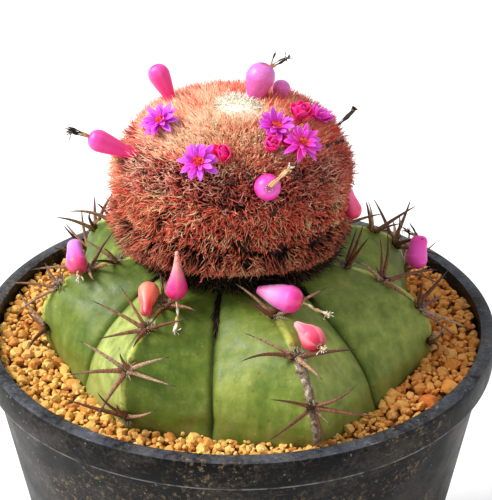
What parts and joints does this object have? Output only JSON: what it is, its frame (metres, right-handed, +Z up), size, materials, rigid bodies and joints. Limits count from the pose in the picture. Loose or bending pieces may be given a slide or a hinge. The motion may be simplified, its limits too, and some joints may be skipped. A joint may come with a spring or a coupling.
{
  "type": "potted cactus",
  "caption": "Live round ribbed cactus with a bristly flowering cap, spine clusters, magenta flowers and pink berries, standing in gravel in a tapered black nursery pot.",
  "frame": {"origin": "middle of the pot's flat underside", "axes": "+Z up along the pot's axis, -Y towards the side seen in the picture, +X to the right in that view"},
  "size_m": [0.155, 0.155, 0.211],
  "materials": {
    "black_plastic": "satin, dusty",
    "gravel": "matte, grainy",
    "green_skin": "waxy satin skin of a live plant",
    "pink_berry": "smooth satin berry skin",
    "magenta_petals": "soft satin petals",
    "magenta_bud": "soft satin petals",
    "dried_flower": "matte, dry",
    "white_wool": "matte wool",
    "spines": "matte woody",
    "old_wool": "matte wool",
    "red_bristles": "matte bristly"
  },
  "bodies": {
    "root": {"pot": "black_plastic", "soil": "gravel", "stem": "green_skin", "fruit_1": "pink_berry", "fruit_2": "pink_berry", "fruit_3": "pink_berry", "fruit_4": "pink_berry", "fruit_5": "pink_berry", "fruit_6": "pink_berry", "fruit_7": "pink_berry", "fruit_8": "pink_berry", "fruit_9": "pink_berry", "fruit_10": "pink_berry", "fruit_11": "pink_berry", "fruit_12": "pink_berry", "flower_1": "magenta_petals", "flower_2": "magenta_petals", "flower_3": "magenta_petals", "flower_4": "magenta_petals", "flower_5": "magenta_petals", "bud_1": "magenta_bud", "bud_2": "magenta_bud", "bud_3": "magenta_bud", "bud_4": "magenta_bud", "dried_flower": "dried_flower", "cap_crown": "white_wool", "spines_1_1": "spines", "spines_1_2": "spines", "spines_1_3": "spines", "spines_1_4": "spines", "spines_2_1": "spines", "spines_2_2": "spines", "spines_2_3": "spines", "spines_2_4": "spines", "spines_3_1": "spines", "spines_3_2": "spines", "spines_3_3": "spines", "spines_3_4": "spines", "spines_4_1": "spines", "spines_4_2": "spines", "spines_4_3": "spines", "spines_4_4": "spines", "spines_5_1": "spines", "spines_5_2": "spines", "spines_5_3": "spines", "spines_6_1": "spines", "spines_6_2": "spines", "spines_6_3": "spines", "spines_6_4": "spines", "spines_7_1": "spines", "spines_7_2": "spines", "spines_7_3": "spines", "spines_7_4": "spines", "spines_8_1": "spines", "spines_8_2": "spines", "spines_8_3": "spines", "spines_8_4": "spines", "cap_collar": "old_wool", "cap": "red_bristles"}
  },
  "joints": []
}
